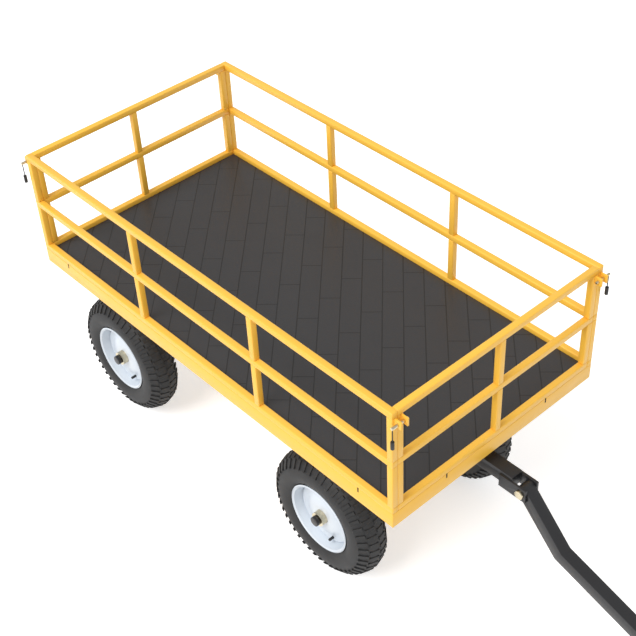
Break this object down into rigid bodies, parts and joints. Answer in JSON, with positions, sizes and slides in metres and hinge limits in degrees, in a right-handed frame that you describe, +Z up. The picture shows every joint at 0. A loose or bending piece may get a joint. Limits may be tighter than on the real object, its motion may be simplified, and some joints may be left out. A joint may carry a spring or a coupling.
{
  "type": "utility wagon",
  "caption": "Four-wheel utility wagon with a flat bed, pinned rail sides, knuckle steering and a folding pull handle.",
  "frame": {"origin": "on the floor, centred under the whole wagon with its handle resting on the floor", "axes": "+X forward to the handle, +Y left, +Z up"},
  "size_m": [2.7594, 0.792, 0.934],
  "materials": {
    "yellow_paint": "powder coat",
    "black_paint": "powder coat",
    "white_paint": "gloss",
    "liner": "matte",
    "grip": "matte",
    "zinc": "zinc plate",
    "tyre": "matte"
  },
  "bodies": {
    "wagon_bed": {"bed_pan": "yellow_paint", "bed_liner": "liner", "frame_rails": "black_paint", "left_rails": "yellow_paint", "left_posts": "yellow_paint", "right_rails": "yellow_paint", "right_posts": "yellow_paint", "front_rails": "yellow_paint", "front_posts": "yellow_paint", "rear_rails": "yellow_paint", "rear_posts": "yellow_paint", "corner_lugs": "yellow_paint", "corner_pins": "zinc", "pin_handles": "grip", "rear_axle": "black_paint", "rear_supports": "black_paint", "front_beam": "black_paint", "front_supports": "black_paint"},
    "tongue": {"tongue": "black_paint", "steering_pin": "zinc", "handle_bolt": "zinc"},
    "knuckle_left": {"knuckle_left": "black_paint"},
    "knuckle_right": {"knuckle_right": "black_paint"},
    "tie_rod_left": {"tie_rod_left": "black_paint"},
    "tie_rod_right": {"tie_rod_right": "black_paint"},
    "handle": {"handle_shaft": "black_paint", "handle_loop": "black_paint", "handle_grip": "grip"},
    "front_left_wheel": {"front_left_tyre": "tyre", "front_left_rim": "white_paint", "front_left_hub": "zinc"},
    "front_right_wheel": {"front_right_tyre": "tyre", "front_right_rim": "white_paint", "front_right_hub": "zinc"},
    "rear_left_wheel": {"rear_left_tyre": "tyre", "rear_left_rim": "white_paint", "rear_left_hub": "zinc"},
    "rear_right_wheel": {"rear_right_tyre": "tyre", "rear_right_rim": "white_paint", "rear_right_hub": "zinc"}
  },
  "joints": [
    {"name": "steer", "type": "hinge", "parent": "wagon_bed", "child": "tongue", "pos_m": [-0.20767, 0, 0.48], "axis": [0, 0, 1], "range_deg": [-30, 30]},
    {"name": "knuckle_left_pivot", "type": "hinge", "parent": "wagon_bed", "child": "knuckle_left", "pos_m": [-0.20767, 0.16, 0.48], "axis": [0, 0, 1], "range_deg": [-30, 30]},
    {"name": "tie_rod_left_pivot", "type": "hinge", "parent": "tongue", "child": "tie_rod_left", "pos_m": [-0.12767, 0, 0.441], "axis": [0, 0, 1], "range_deg": [-30, 30]},
    {"name": "knuckle_right_pivot", "type": "hinge", "parent": "wagon_bed", "child": "knuckle_right", "pos_m": [-0.20767, -0.16, 0.48], "axis": [0, 0, 1], "range_deg": [-30, 30]},
    {"name": "tie_rod_right_pivot", "type": "hinge", "parent": "tongue", "child": "tie_rod_right", "pos_m": [-0.12767, 0, 0.441], "axis": [0, 0, 1], "range_deg": [-30, 30]},
    {"name": "handle_pitch", "type": "hinge", "parent": "tongue", "child": "handle", "pos_m": [0.27233, 0, 0.47], "axis": [0, -1, 0], "range_deg": [-8, 100]},
    {"name": "front_left_roll", "type": "hinge", "parent": "knuckle_left", "child": "front_left_wheel", "pos_m": [-0.20767, 0.26, 0.203], "axis": [0, 1, 0], "continuous": true},
    {"name": "front_right_roll", "type": "hinge", "parent": "knuckle_right", "child": "front_right_wheel", "pos_m": [-0.20767, -0.26, 0.203], "axis": [0, 1, 0], "continuous": true},
    {"name": "rear_left_roll", "type": "hinge", "parent": "wagon_bed", "child": "rear_left_wheel", "pos_m": [-1.16067, 0.26, 0.203], "axis": [0, 1, 0], "continuous": true},
    {"name": "rear_right_roll", "type": "hinge", "parent": "wagon_bed", "child": "rear_right_wheel", "pos_m": [-1.16067, -0.26, 0.203], "axis": [0, 1, 0], "continuous": true}
  ],
  "couplings": [
    {"joint": "knuckle_left_pivot", "follows": "steer", "ratio": 1},
    {"joint": "tie_rod_left_pivot", "follows": "steer", "ratio": -1},
    {"joint": "knuckle_right_pivot", "follows": "steer", "ratio": 1},
    {"joint": "tie_rod_right_pivot", "follows": "steer", "ratio": -1}
  ]
}
